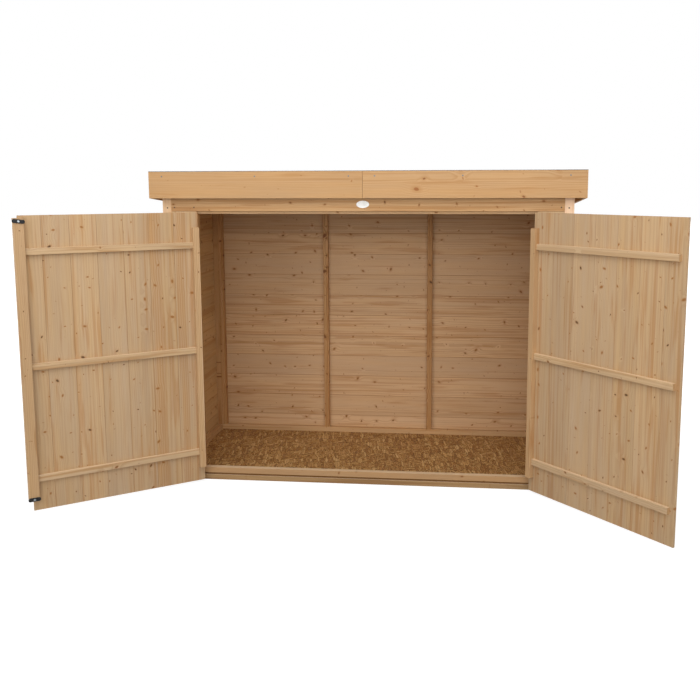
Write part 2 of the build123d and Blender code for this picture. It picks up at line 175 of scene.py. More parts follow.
def noiseAt(tree, vector, scale=1.0, detail=2.0):
    node = tree.nodes.new("ShaderNodeTexNoise")
    feed(tree, node.inputs["Vector"], vector)
    node.inputs["Scale"].default_value = scale
    node.inputs["Detail"].default_value = detail
    return node.outputs[0]


def stretchedNoise(tree, ways, scales):     # noise with its own scale each way
    return noiseAt(tree, pointAt(tree, *[times(tree, way, scale) for way, scale in zip(ways, scales)]))


def cellsAt(tree, vector, scale, dimensions="2D", feature="F1"):
    node = tree.nodes.new("ShaderNodeTexVoronoi")
    node.voronoi_dimensions = dimensions
    node.feature = feature
    feed(tree, node.inputs["Vector"], vector)
    node.inputs["Scale"].default_value = scale
    return node


def newMaterial(name):
    material = bpy.data.materials.new(name)
    material.use_nodes = True
    tree = material.node_tree
    return material, tree, tree.nodes["Principled BSDF"]


def feedShader(tree, shader, colour, roughness, height, relief):
    bump = tree.nodes.new("ShaderNodeBump")
    bump.inputs["Strength"].default_value = relief["strength"]
    bump.inputs["Distance"].default_value = relief["depth"]
    feed(tree, bump.inputs["Height"], height)
    for name, value in (("Base Color", colour), ("Roughness", roughness), ("Normal", bump.outputs[0])):
        feed(tree, shader.inputs[name], value)


def objectPoint(tree):
    return tree.nodes.new("ShaderNodeTexCoord").outputs["Object"]


def dress(nodeName, material):
    nodes[nodeName].data.materials.clear()
    nodes[nodeName].data.materials.append(material)


# Softwood: each board is a slice of its own log, with rings, fibres, resin streaks and knots

plainTimber = {
    "ringWidth": 0.0045,
    "ringContrast": 0.35,
    "tintSpread": 0.12,
    "flame": 0.5,            # heartwood flames
    "blush": 0.22,           # drift between a warmer and a cooler hue
    "heartShare": 0.2,       # share of boards with a heart band
    "knot": "#54351e",
    "knotPale": "#7f522c",
    "knotShare": 0.5,        # share of cells that hold a knot
    "knotSize": 1.0,
    "knotHalo": 1.8,         # in knot radii
    "pinShare": 0.25,
    "joint": 0.4,            # strength of the joint line
    "paintedTopLight": 0.0,          # painted highlight: upper faces painted paler, as if lit from above
    "lowDarkening": 0.0,            # darker towards the ground
}
softwood = {
    "boarding": {
        **plainTimber,
        "pale": "#c1a480", "dark": "#a7835c", "resin": "#a7733f", "knot": "#543722", "knotPale": "#94612f",
        "endGrain": "#a2764a", "ringWidth": 0.0055, "ringContrast": 0.24, "joint": 0.75, "knotShare": 0.8,
        "pinShare": 0.3, "flame": 0.46, "heartShare": 0.22, "blush": 0.32, "lowDarkening": 0.05,
    },
    "lining": {
        **plainTimber,
        "pale": "#cca780", "dark": "#b1885d", "resin": "#a4703e", "knot": "#6f4824", "knotPale": "#8a5930",
        "endGrain": "#aa7846", "ringWidth": 0.0055, "ringContrast": 0.46, "joint": 0.85, "knotShare": 0.75,
        "knotHalo": 2.4, "pinShare": 0.45, "flame": 0.46, "heartShare": 0.1,
    },
    "flank": {
        **plainTimber,
        "pale": "#cfaa79", "dark": "#b58a57", "resin": "#a7713a", "knot": "#6f4824", "knotPale": "#8a5930",
        "endGrain": "#ad7a42", "ringWidth": 0.0055, "ringContrast": 0.33, "joint": 0.75, "knotShare": 0.75,
        "knotHalo": 2.4, "pinShare": 0.35, "flame": 0.34, "heartShare": 0.06,
    },
    # paler timber than the lintel, and painted paler still as painted light that makes up for the shade under
    # the fascia
    "trim": {
        **plainTimber,
        "pale": "#e0be96", "dark": "#c79f75", "resin": "#cb915a", "knot": "#6b452b", "knotPale": "#a5723f",
        "endGrain": "#c28e5c", "ringWidth": 0.0050, "ringContrast": 0.25, "tintSpread": 0.06,
        "knotShare": 0.3, "knotHalo": 1.7, "pinShare": 0.2, "flame": 0.3, "heartShare": 0.0, "lowDarkening": 0.05,
    },
    "jamb": {
        **plainTimber,
        "pale": "#cdb08a", "dark": "#b18d63", "resin": "#ab7a45", "knot": "#54371f", "knotPale": "#8d5d30",
        "endGrain": "#a97e50", "ringWidth": 0.0050, "ringContrast": 0.25, "tintSpread": 0.06,
        "knotHalo": 1.7, "pinShare": 0.2, "flame": 0.45, "heartShare": 0.0, "lowDarkening": 0.05,
    },
    # the right corner trim: the trim's timber painted paler still, as painted light on that side
    "paintedLitTrim": {
        **plainTimber,
        "pale": "#f3d3b4", "dark": "#dcb594", "resin": "#cb915a", "knot": "#6b452b", "knotPale": "#a5723f",
        "endGrain": "#c28e5c", "ringWidth": 0.0050, "ringContrast": 0.25, "tintSpread": 0.06,
        "knotShare": 0.3, "knotHalo": 1.7, "pinShare": 0.2, "flame": 0.3, "heartShare": 0.0, "lowDarkening": 0.05,
    },
    "framing": {
        **plainTimber,
        "pale": "#d3b48e", "dark": "#b38d61", "resin": "#ad7c44", "endGrain": "#c09768",
    },
    "batten": {
        **plainTimber,
        "pale": "#be9d77", "dark": "#a17b51", "resin": "#9c6b38", "endGrain": "#b58a5b",
    },
    "sill": {
        **plainTimber,
        "pale": "#b48f66", "dark": "#997046", "resin": "#8c5e31", "endGrain": "#a07749", "knotShare": 0.75,
        "knotHalo": 2.2, "pinShare": 0.4, "paintedTopLight": 0.62,
    },
    "bearer": {
        **plainTimber,
        "pale": "#a88860", "dark": "#8c683f", "resin": "#80562b", "endGrain": "#946d42", "knotShare": 0.75,
        "knotHalo": 2.2, "pinShare": 0.4, "paintedTopLight": 0.5,
    },
    "studding": {
        **plainTimber,
        "pale": "#c29565", "dark": "#966b3c", "resin": "#935f2c", "knot": "#43260f", "knotPale": "#6e4120",
        "endGrain": "#9a6533", "ringContrast": 0.75, "tintSpread": 0.14, "knotSize": 1.8, "knotShare": 0.95,
        "knotHalo": 2.2, "pinShare": 0.3, "flame": 0.75, "heartShare": 0.3,
    },
    "fascia": {
        **plainTimber,
        "pale": "#c0996c", "dark": "#ab7c4b", "resin": "#a8743f", "knot": "#7d4f2f", "knotPale": "#9a6538",
        "endGrain": "#9c6d3a", "ringWidth": 0.0065, "ringContrast": 0.24, "tintSpread": 0.04,
        "knotSize": 1.3, "knotShare": 0.12, "knotHalo": 2.2, "flame": 0.35, "heartShare": 0.0,
    },
    "knottyFascia": {
        **plainTimber,
        "pale": "#c39c6f", "dark": "#ab7c4b", "resin": "#a8743f", "knot": "#80502c", "knotPale": "#955c30",
        "endGrain": "#9c6d3a", "ringWidth": 0.0065, "ringContrast": 0.42, "tintSpread": 0.04,
        "knotSize": 1.7, "knotShare": 0.6, "knotHalo": 2.6, "flame": 0.45, "heartShare": 0.0,
    },
    "lintel": {
        **plainTimber,
        "pale": "#c29b6f", "dark": "#a97e4f", "resin": "#a06e3c", "knot": "#6a4324", "knotPale": "#8a5a31",
        "endGrain": "#9c6c3b", "ringWidth": 0.0055, "ringContrast": 0.25, "tintSpread": 0.06,
        "knotShare": 0.7, "knotHalo": 2.2, "pinShare": 0.4, "flame": 0.45, "heartShare": 0.0,
    },
    "ledge": {
        **plainTimber,
        "pale": "#c9ab86", "dark": "#aa865d", "resin": "#a97942", "endGrain": "#c09768", "paintedTopLight": 0.6,
    },
}

grainShape = {
    "spread": (31.0, 17.0),           # a board's patterns start anywhere in this, along and across
    "pithSpread": 0.15,               # where the log's middle may lie, from side to side
    "pithNear": 0.012,                # and how deep under the board's own middle
    "pithFar": 0.09,
    "wander": 0.03,                   # slow wander of the rings along the board
    "wanderScale": 1.3,
    "fray": 0.0016,                   # small unevenness of a ring
    "frayScale": (6.0, 90.0),
    "yearSpread": 0.6,                # a board's ring width: its spread and its least, as shares
    "yearLeast": 0.75,
    "lateOnset": (0.3, 0.9),          # late wood in each year
    "lateEnd": (0.92, 1.0),
    "knots": {"cell": 0.086, "least": 0.0019, "most": 0.0058, "stretch": 0.6},     # one at most in each cell
    "pins": {"cell": 0.050, "least": 0.0008, "most": 0.0020, "stretch": 0.45},
    "pinShift": 4.3,                  # keeps the pin knots' cells off the knots'
    "slant": 40.0,                    # radians, so that knots slant all ways
    "raggedScale": 260.0,
    "ragged": 0.0036,                 # unevenness of a knot's rim
    "raggedPin": 0.0020,
    "knotRim": (0.6, 1.05),           # in knot radii
    "knotShade": (0.2, 0.4),          # split between dark and pale knots
    "knotDepth": 0.9,
    "pinRim": (0.5, 1.5),
    "pinDepth": 0.6,
    "haloStart": 0.9,
    "haloDepth": 0.4,
    "swell": 0.9,                     # push of a knot on the rings
    "swellReach": 6.0,
    "fibreScale": (9.0, 420.0, 420.0),     # along, across and into the board
    "fibreDepth": 0.6,
    "fibreBase": -0.15,
    "resinScale": (1.3, 75.0, 40.0),
    "resinSpread": 0.14,              # some boards hold more resin
    "resinOnset": (0.55, 0.72),
    "resinDepth": 0.5,
    "flameScale": (3.4, 46.0, 30.0),
    "flameSpread": 0.12,
    "flameOnset": (0.57, 0.70),
    "flameFibre": (0.25, 0.6, 0.55, 1.0),
    "heartShift": -0.06,
    "heartWander": 0.02,
    "heartHalf": (0.016, 0.010),      # spread and least of a heart band's half width
    "heartRim": (0.7, 1.0),
    "heartDepth": (0.3, 0.22),        # in late wood, and all over
    "cloudScale": (1.6, 9.0),
    "cloudDepth": 0.22,
    "driftScale": (2.6, 28.0),
    "driftSpread": 0.22,
    "driftRed": 0.4,                  # change of red for one of blue
    "jointLine": (0.0004, 0.0009),    # warm line along a board joint, from the board's edge
    "faceOn": (0.6, 0.9),             # how squarely a face looks up or along the grain
    "endDepth": 0.75,
    "lowDarkening": "#6f6252",               # the colour that faces are darkened towards near the ground
    "lowDarkeningRise": (0.05, 0.17),
    "lowDarkeningTop": (0.5, 0.8),           # none on upper faces
    # painted highlight: the colour that upper faces are painted towards
    "paintedTopLight": "#ecd2ae",
    "roughness": (0.7, 0.55),
    "specular": 0.25,
    "relief": {"fibre": 0.7, "late": 0.5, "strength": 0.22, "depth": 0.0004},
}


def closedFrame(tree, nodeName):     # a point and its normal, as they are with the door closed
    source = tree.nodes.new("ShaderNodeTexCoord")
    point, normal = source.outputs["Object"], source.outputs["Normal"]
    side = sideOf(nodeName)
    if not side:
        return point, normal
    turned = []
    for kind, value in (("POINT", point), ("NORMAL", normal)):
        mapping = tree.nodes.new("ShaderNodeMapping")
        mapping.vector_type = kind
        mapping.inputs["Rotation"].default_value = closing[side].to_euler()
        if kind == "POINT":
            mapping.inputs["Location"].default_value = closing[side].translation
        feed(tree, mapping.inputs["Vector"], value)
        turned.append(mapping.outputs[0])
    return turned


# distance from the nearest knot, its radius and its shade
def knotField(tree, along, across, kind, share, growing):
    spot = pointAt(tree, along, across)
    cells = cellsAt(tree, spot, 1 / kind["cell"])
    chance, growth, shade = drawsOf(tree, cells.outputs["Color"])
    turned = tree.nodes.new("ShaderNodeVectorRotate")     # each knot slants its own way
    turned.rotation_type = "Z_AXIS"
    feed(tree, turned.inputs["Vector"], spot)
    feed(tree, turned.inputs["Center"], cells.outputs["Position"])
    feed(tree, turned.inputs["Angle"], times(tree, growth, grainShape["slant"]))
    middleAlong, middleAcross = axesOf(tree, cells.outputs["Position"])[:2]
    turnedAlong, turnedAcross = axesOf(tree, turned.outputs[0])[:2]
    lengthways = times(tree, minus(tree, turnedAlong, middleAlong), kind["stretch"])
    sideways = minus(tree, turnedAcross, middleAcross)
    squares = plus(tree, times(tree, lengthways, lengthways), times(tree, sideways, sideways))
    away = mathNode(tree, "SQRT", squares)
    size = timesPlus(tree, times(tree, growth, growth), kind["most"] - kind["least"], kind["least"])
    radius = times(tree, times(tree, size, growing), mathNode(tree, "GREATER_THAN", chance, 1 - share))
    return away, radius, shade


def within(tree, distance, radius, inner, outer):     # 1 inside, 0 outside, both in radii
    return smoothRange(tree, distance, times(tree, radius, inner), times(tree, radius, outer), 1.0, 0.0)


def timberMaterial(nodeName, tone, grain, across, start, width, seed):
    shape = grainShape
    low, high = closedBox(nodeName)
    material, tree, shader = newMaterial("timber_" + nodeName)
    point, normal = closedFrame(tree, nodeName)
    axes = dict(zip("XYZ", axesOf(tree, point)))
    facing = dict(zip("XYZ", axesOf(tree, normal)))
    depthAxis = next(axis for axis in "XYZ" if axis not in (grain, across))
    depthIndex = "XYZ".index(depthAxis)
    depth = minus(tree, axes[depthAxis], (low[depthIndex] + high[depthIndex]) / 2)

    # which board, where on it, and that board's own random numbers
    counted = mathNode(tree, "DIVIDE", minus(tree, axes[across], start), width)
    board = mathNode(tree, "FLOOR", counted)
    sideways = times(tree, minus(tree, minus(tree, counted, board), 0.5), width)
    draw = tree.nodes.new("ShaderNodeTexWhiteNoise")
    draw.noise_dimensions = "1D"
    feed(tree, draw.inputs["W"], plus(tree, board, seed + 0.5))
    first, second, third = drawsOf(tree, draw.outputs["Color"])
    farAlong = timesPlus(tree, first, shape["spread"][0], axes[grain])
    farAcross = timesPlus(tree, second, shape["spread"][1], sideways)
    ways = (farAlong, farAcross, depth)
    spot = pointAt(tree, farAlong, farAcross)

    # knots, and the smaller pin knots
    ragged = minus(tree, noiseAt(tree, spot, shape["raggedScale"]), 0.5)
    away, radius, shade = knotField(
        tree, farAlong, farAcross, shape["knots"], tone["knotShare"], tone["knotSize"]
    )
    rim = timesPlus(tree, ragged, shape["ragged"], away)
    knot = within(tree, rim, radius, *shape["knotRim"])
    halo = within(tree, rim, radius, shape["haloStart"], tone["knotHalo"])
    swell = within(tree, away, radius, 0.0, shape["swellReach"])
    pinAlong = plus(tree, farAlong, shape["pinShift"])
    pinAway, pinRadius = knotField(
        tree, pinAlong, farAcross, shape["pins"], tone["pinShare"], tone["knotSize"]
    )[:2]
    pin = within(tree, timesPlus(tree, ragged, shape["raggedPin"], pinAway), pinRadius, *shape["pinRim"])

    # rings about the log's middle, bent round the knots
    wander = minus(tree, noiseAt(tree, spot, shape["wanderScale"], detail=1.0), 0.5)
    middle = times(tree, minus(tree, third, 0.5), shape["pithSpread"])
    fromMiddle = minus(tree, timesPlus(tree, wander, shape["wander"], sideways), middle)
    pithDepth = timesPlus(tree, second, shape["pithFar"] - shape["pithNear"], shape["pithNear"])
    under = plus(tree, depth, pithDepth)
    squares = plus(tree, mathNode(tree, "POWER", fromMiddle, 2.0), mathNode(tree, "POWER", under, 2.0))
    fray = minus(tree, stretchedNoise(tree, ways, shape["frayScale"]), 0.5)
    ring = timesPlus(tree, fray, shape["fray"], mathNode(tree, "SQRT", squares))
    ring = timesPlus(tree, times(tree, swell, radius), shape["swell"], ring)
    yearly = times(tree, timesPlus(tree, first, shape["yearSpread"], shape["yearLeast"]), tone["ringWidth"])
    year = mathNode(tree, "FRACT", mathNode(tree, "DIVIDE", ring, yearly))
    lateEnd = smoothRange(tree, year, *shape["lateEnd"], 1.0, 0.0)
    late = times(tree, smoothRange(tree, year, *shape["lateOnset"]), lateEnd)

    # fibres, resin streaks, flames and bands of heartwood
    fibre = stretchedNoise(tree, ways, shape["fibreScale"])
    resin = stretchedNoise(tree, ways, shape["resinScale"])
    flame = stretchedNoise(tree, ways, shape["flameScale"])
    fibrous = timesPlus(tree, fibre, shape["fibreDepth"], shape["fibreBase"])
    darkness = timesPlus(tree, late, tone["ringContrast"], fibrous)
    colour = mixColours(tree, darkness, tone["pale"], tone["dark"])
    resinous = timesPlus(tree, minus(tree, first, 0.5), shape["resinSpread"], resin)
    streak = smoothRange(tree, resinous, *shape["resinOnset"], 0.0, shape["resinDepth"])
    flaming = timesPlus(tree, minus(tree, second, 0.5), shape["flameSpread"], flame)
    blaze = smoothRange(tree, flaming, *shape["flameOnset"], 0.0, tone["flame"])
    blaze = times(tree, blaze, smoothRange(tree, fibre, *shape["flameFibre"]))
    heartLine = timesPlus(tree, wander, shape["heartWander"], sideways)
    fromHeart = timesPlus(tree, minus(tree, first, 0.5), shape["heartShift"], heartLine)
    heartHalf = timesPlus(tree, second, *shape["heartHalf"])
    heart = within(tree, mathNode(tree, "ABSOLUTE", fromHeart), heartHalf, *shape["heartRim"])
    heart = times(tree, heart, mathNode(tree, "LESS_THAN", third, tone["heartShare"]))
    heart = times(tree, heart, timesPlus(tree, late, *shape["heartDepth"]))
    warmth = mathNode(tree, "MAXIMUM", mathNode(tree, "MAXIMUM", streak, blaze), heart)
    colour = mixColours(tree, warmth, colour, tone["resin"])

    # the board's own tint, clouds in it and a drift of its hue
    cloud = minus(tree, stretchedNoise(tree, ways, shape["cloudScale"]), 0.5)
    tint = timesPlus(tree, third, tone["tintSpread"], 1 - tone["tintSpread"] / 2)
    level = timesPlus(tree, cloud, shape["cloudDepth"], tint)
    drift = minus(tree, stretchedNoise(tree, ways, shape["driftScale"]), 0.5)
    drift = timesPlus(tree, minus(tree, second, 0.5), shape["driftSpread"], drift)
    drift = times(tree, drift, tone["blush"])
    hue = pointAt(tree, timesPlus(tree, drift, shape["driftRed"], level), level, minus(tree, level, drift))
    colour = mixColours(tree, 1.0, colour, hue, "MULTIPLY")

    # the knots over it, dark or pale, each in its halo
    colour = mixColours(tree, times(tree, halo, shape["haloDepth"]), colour, tone["resin"])
    colour = mixColours(tree, times(tree, pin, shape["pinDepth"]), colour, tone["knotPale"])
    paleCore = smoothRange(tree, shade, *shape["knotShade"])
    core = mixColours(tree, paleCore, tone["knot"], tone["knotPale"])
    colour = mixColours(tree, times(tree, knot, shape["knotDepth"]), colour, core)

    # warm line along the joints, a painted highlight on upper faces, end grain, and faces darker towards the
    # ground
    toEdge = minus(tree, width / 2, mathNode(tree, "ABSOLUTE", sideways))
    jointLine = smoothRange(tree, toEdge, *shape["jointLine"], tone["joint"], 0.0)
    colour = mixColours(tree, jointLine, colour, tone["resin"])
    # painted highlight: faces that look up are painted paler, standing in for light from above
    paintedTopLight = smoothRange(tree, facing["Z"], *shape["faceOn"], 0.0, tone["paintedTopLight"])
    colour = mixColours(tree, paintedTopLight, colour, shape["paintedTopLight"])
    endOn = mathNode(tree, "ABSOLUTE", facing[grain])
    endOn = smoothRange(tree, endOn, *shape["faceOn"], 0.0, shape["endDepth"])
    colour = mixColours(tree, endOn, colour, tone["endGrain"])
    # faces other than upper ones are made darker towards the ground
    darkenedLow = smoothRange(tree, axes["Z"], *shape["lowDarkeningRise"], tone["lowDarkening"], 0.0)
    darkenedLow = times(tree, darkenedLow, smoothRange(tree, facing["Z"], *shape["lowDarkeningTop"], 1.0, 0.0))
    colour = mixColours(tree, darkenedLow, colour, shape["lowDarkening"], "MULTIPLY")

    relief = shape["relief"]
    height = plus(tree, times(tree, fibre, relief["fibre"]), times(tree, late, relief["late"]))
    roughness = smoothRange(tree, darkness, 0.0, 1.0, *shape["roughness"])
    feedShader(tree, shader, colour, roughness, height, relief)
    shader.inputs["Specular IOR Level"].default_value = shape["specular"]
    return material


# Timber layout: grain direction, direction across the boards, and either board joints or a row of like pieces

stock = 0.027            # square timber of the posts and battens
bearerWidth = 0.045
wholeWidth = 10.0        # wider than any single piece
seedStep = 40            # so that no two nodes share a board's random numbers


def boardRun(nodeName):     # first joint and board width across the boards
    side = sideOf(nodeName)
    if side:
        edge = pins[side].x - handed[side] * doorHang["pinToEdge"]
        start = edge if side == "left" else edge - doorHang["boardCount"] * boardCover
        return start, boardCover
    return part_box(nodeName)[0].z, boardCover


def rowRun(nodeName, across, count, thickness):     # like pieces in a row, each with its own timber
    low, high = closedBox(nodeName)
    index = "XYZ".index(across)
    if count == 1:
        return (low[index] + high[index] - wholeWidth) / 2, wholeWidth
    pitch = (high[index] - low[index] - thickness) / (count - 1)
    return low[index] + (thickness - pitch) / 2, pitch


timberPlan = [
    ("boarding", "Z", "X", "boards", ["left_door_boards", "right_door_boards"]),
    ("lining", "X", "Z", "boards", ["rear_boards"]),
    ("lintel", "X", "Z", "boards", ["lintel_boards"]),
    ("flank", "Y", "Z", "boards", ["left_side_boards", "right_side_boards"]),
    ("jamb", "Z", "X", 1, ["jamb_board_left", "jamb_board_right", "rear_trim_left", "rear_trim_right"]),
    ("trim", "Z", "X", 1, ["front_trim_left"]),
    # the right trim takes the trim's timber painted paler, as painted light
    ("paintedLitTrim", "Z", "X", 1, ["front_trim_right"]),
    ("framing", "Z", "X", 1, ["left_door_hinge_batten"]),
    ("batten", "Z", "X", 1, ["right_door_hinge_batten", "left_door_astragal"]),
    ("ledge", "X", "Z", 1, [
        side + "_door_ledge_" + place for side in handed for place in ("bottom", "middle", "top")
    ]),
    ("sill", "X", "Z", 1, ["front_bottom_rail"]),
    ("framing", "X", "Z", 1, ["front_header_rail", "front_top_plate", "rear_top_plate",
                              "roof_front_batten", "roof_rear_batten"]),
    ("lintel", "X", "Z", 1, ["rear_bottom_rail"]),
    ("lintel", "Y", "Z", 1, ["left_side_bottom_rail", "right_side_bottom_rail"]),
    ("framing", "Y", "Z", 1, ["left_side_top_rail", "right_side_top_rail", "roof_joint_bearer"]),
    ("studding", "Z", "X", 2, ["front_corner_posts", "front_hinge_posts", "rear_corner_posts", "rear_studs"]),
    ("studding", "Z", "Y", 2, ["left_side_posts", "right_side_posts"]),
    ("framing", "Y", "X", 2, ["roof_side_battens"]),
    ("bearer", "X", "Y", 3, ["floor_bearers"]),
    ("fascia", "X", "Z", 1, ["fascia_left"]),
    ("knottyFascia", "X", "Z", 1, ["fascia_right"]),
    ("fascia", "Y", "Z", 1, ["barge_board_left", "barge_board_right"]),
]

seed = 0
for tone, grain, across, rows, names in timberPlan:
    for nodeName in names:
        seed += seedStep
        if rows == "boards":
            start, width = boardRun(nodeName)
        else:
            thickness = bearerWidth if nodeName == "floor_bearers" else stock
            start, width = rowRun(nodeName, across, rows, thickness)
        dress(nodeName, timberMaterial(nodeName, softwood[tone], grain, across, start, width, seed))
print("timber dressed,", seed // seedStep, "nodes")


# Strand board: layers of flakes that lie over each other at all angles, with pressed strands on the edges

strandLook = {
    "tones": ("#6e4522", "#976837", "#b88d55", "#d8b57f"),
    "toneSpread": 0.65,               # from flake to flake
    "toneBase": -0.07,
    "angles": (84, 152, 58, 118, 33, 97),     # of the layers, in degrees, bottom one first
    "shift": (0.37, 0.21),            # from each layer to the next
    "length": 0.065,
    "breadth": 0.0100,
    "warpScale": 0.6,
    "warp": 0.8,                      # bend of the flakes, in breadths
    "fibreScale": (1.5, 12.0),
    "fibreDepth": 0.45,
    "rim": 0.09,                      # dark rim, as a share of a flake
    "cover": 0.5,                     # share of each layer that hides the one below
    "gap": "#4d3015",
    "speck": 0.45,                    # strength of the small specks
    "speckScale": (210.0, 75.0),
    "darkSpeck": (0.54, 0.68),
    "paleSpeck": (0.32, 0.46),
    "edge": "#8a6238",
    "edgeDark": "#5d3d1d",
    "edgeScale": (45.0, 700.0, 45.0),
    "faceOn": (0.4, 0.6),             # how squarely a face looks up or down
    "roughness": (0.7, 0.5),
    "specular": 0.25,
    "relief": {"strength": 0.3, "depth": 0.0006, "flake": 0.5, "rim": 0.5, "below": 0.6, "highest": 1.5},
}


def flakeTones(tree, tones):
    ramp = tree.nodes.new("ShaderNodeValToRGB")
    stops = ramp.color_ramp.elements
    while len(stops) < len(tones):
        stops.new(0.5)
    for index, text in enumerate(tones):
        stops[index].position = index / (len(tones) - 1)
        stops[index].color = hexColour(text)
    return ramp


def strandMaterial(name):
    look = strandLook
    relief = look["relief"]
    material, tree, shader = newMaterial(name)
    source = tree.nodes.new("ShaderNodeTexCoord")
    place = source.outputs["Object"]
    colour = look["tones"][1]
    height = 0.0
    for layer, angle in enumerate(look["angles"]):
        mapping = tree.nodes.new("ShaderNodeMapping")
        mapping.vector_type = "TEXTURE"
        mapping.inputs["Location"].default_value = (look["shift"][0] * layer, look["shift"][1] * layer, 0.0)
        mapping.inputs["Rotation"].default_value = (0.0, 0.0, math.radians(angle))
        mapping.inputs["Scale"].default_value = (look["length"], look["breadth"], 1.0)
        feed(tree, mapping.inputs["Vector"], place)
        warp = noiseAt(tree, mapping.outputs[0], look["warpScale"], detail=1.0)
        x, y = axesOf(tree, mapping.outputs[0])[:2]
        bent = pointAt(tree, x, timesPlus(tree, warp, look["warp"], y))
        flakes = cellsAt(tree, bent, 1.0)
        edges = cellsAt(tree, bent, 1.0, feature="DISTANCE_TO_EDGE")
        pick, toneDraw, tilt = drawsOf(tree, flakes.outputs["Color"])
        ramp = flakeTones(tree, look["tones"])
        fibre = stretchedNoise(tree, (x, y), look["fibreScale"])
        fibrous = timesPlus(tree, fibre, look["fibreDepth"], look["toneBase"])
        feed(tree, ramp.inputs[0], timesPlus(tree, toneDraw, look["toneSpread"], fibrous))
        rim = smoothRange(tree, edges.outputs["Distance"], 0.0, look["rim"])
        flake = mixColours(tree, rim, look["gap"], ramp.outputs[0])
        onTop = mathNode(tree, "GREATER_THAN", pick, 1 - look["cover"])
        colour = mixColours(tree, onTop, colour, flake)
        lift = timesPlus(tree, tilt, relief["flake"], times(tree, rim, relief["rim"]))
        height = plus(tree, times(tree, lift, onTop), times(tree, height, relief["below"]))
    x, y, z = axesOf(tree, place)
    speck = stretchedNoise(tree, (x, y), look["speckScale"])
    darkSpeck = smoothRange(tree, speck, *look["darkSpeck"], 0.0, look["speck"])
    colour = mixColours(tree, darkSpeck, colour, look["gap"])
    paleSpeck = smoothRange(tree, speck, *look["paleSpeck"], look["speck"], 0.0)
    colour = mixColours(tree, paleSpeck, colour, look["tones"][3])
    layers = stretchedNoise(tree, (x, z, y), look["edgeScale"])
    edge = mixColours(tree, layers, look["edgeDark"], look["edge"])
    upright = axesOf(tree, source.outputs["Normal"])[2]
    flatOn = smoothRange(tree, mathNode(tree, "ABSOLUTE", upright), *look["faceOn"])
    colour = mixColours(tree, flatOn, edge, colour)
    roughness = smoothRange(tree, height, 0.0, relief["highest"], *look["roughness"])
    feedShader(tree, shader, colour, roughness, height, relief)
    shader.inputs["Specular IOR Level"].default_value = look["specular"]
    return material


for nodeName in ("floor_sheet", "roof_sheet_left", "roof_sheet_right"):
    dress(nodeName, strandMaterial("strand_" + nodeName))
print("strand board dressed")


# Roofing felt: dark bitumen under slate granules

feltLook = {
    "bitumen": "#23282b",
    "granule": "#56626a",
    "paleGranule": "#7c8a90",
    "paleShare": (0.8, 0.9),
    "grain": 0.0022,
    "wornScale": 5.0,                 # patches with fewer granules
    "wornOnset": (0.35, 0.7),
    "wornDepth": 0.35,
    "roughness": (0.75, 0.95),
    "relief": {"strength": 0.5, "depth": 0.0008},
}


def feltMaterial():
    look = feltLook
    material, tree, shader = newMaterial("roofing_felt")
    place = objectPoint(tree)
    granules = cellsAt(tree, place, 1 / look["grain"], "3D")
    shade, pale, dull = drawsOf(tree, granules.outputs["Color"])
    colour = mixColours(tree, shade, look["bitumen"], look["granule"])
    pale = smoothRange(tree, pale, *look["paleShare"])
    colour = mixColours(tree, pale, colour, look["paleGranule"])
    worn = noiseAt(tree, place, look["wornScale"], detail=4.0)
    worn = smoothRange(tree, worn, *look["wornOnset"], 0.0, look["wornDepth"])
    colour = mixColours(tree, worn, colour, look["bitumen"])
    roughness = smoothRange(tree, dull, 0.0, 1.0, *look["roughness"])
    height = minus(tree, 1.0, granules.outputs["Distance"])
    feedShader(tree, shader, colour, roughness, height, look["relief"])
    return material


dress("roof_felt", feltMaterial())
print("felt dressed")


# Metal: black lacquer on pressed steel, bright zinc, and dull and rusty nails

ironLook = {"main": "#0c0c0d", "worn": "#1c1c1d", "rough": (0.3, 0.5), "metallic": 0.0, "specular": 0.25}
zincLook = {"main": "#a9b0b3", "worn": "#82898c", "rough": (0.28, 0.5), "metallic": 0.85, "specular": 0.5}
nailLook = {"main": "#7d878c", "worn": "#5d676c", "rough": (0.5, 0.7), "metallic": 0.3, "specular": 0.5}
rustLook = {"main": "#5f4936", "worn": "#3f2f23", "rough": (0.7, 0.9), "metallic": 0.1, "specular": 0.5}
coating = {
    "mottleScale": 160.0,
    "mottle": (0.35, 0.7),
    "dullScale": 60.0,
    "dull": (0.3, 0.7),
    "relief": {"strength": 0.15, "depth": 0.0003},
}


def coatedMetal(name, look):
    material, tree, shader = newMaterial(name)
    place = objectPoint(tree)
    mottle = noiseAt(tree, place, coating["mottleScale"], detail=3.0)
    worn = smoothRange(tree, mottle, *coating["mottle"])
    colour = mixColours(tree, worn, look["main"], look["worn"])
    dull = noiseAt(tree, place, coating["dullScale"])
    roughness = smoothRange(tree, dull, *coating["dull"], *look["rough"])
    feedShader(tree, shader, colour, roughness, mottle, coating["relief"])
    shader.inputs["Metallic"].default_value = look["metallic"]
    shader.inputs["Specular IOR Level"].default_value = look["specular"]
    return material


blackIron = coatedMetal("black_iron", ironLook)
brightZinc = coatedMetal("bright_zinc", zincLook)
dullNail = coatedMetal("dull_nail", nailLook)
rustyNail = coatedMetal("rusty_nail", rustLook)
for nodeName in (
    "turn_button_top", "turn_button_bottom", "left_hinge_straps", "right_hinge_straps",
    "hinge_plates", "hinge_pins", "pad_bolt_case", "pad_bolt_keeper",
):
    dress(nodeName, blackIron)
for nodeName in ("pad_bolt_bar", "turn_button_screws"):
    dress(nodeName, brightZinc)
print("metal dressed")


# Modelling helpers

facingUp = 0.9           # least upward part of a top face's normal


def deselectAll():
    bpy.ops.object.select_all(action="DESELECT")


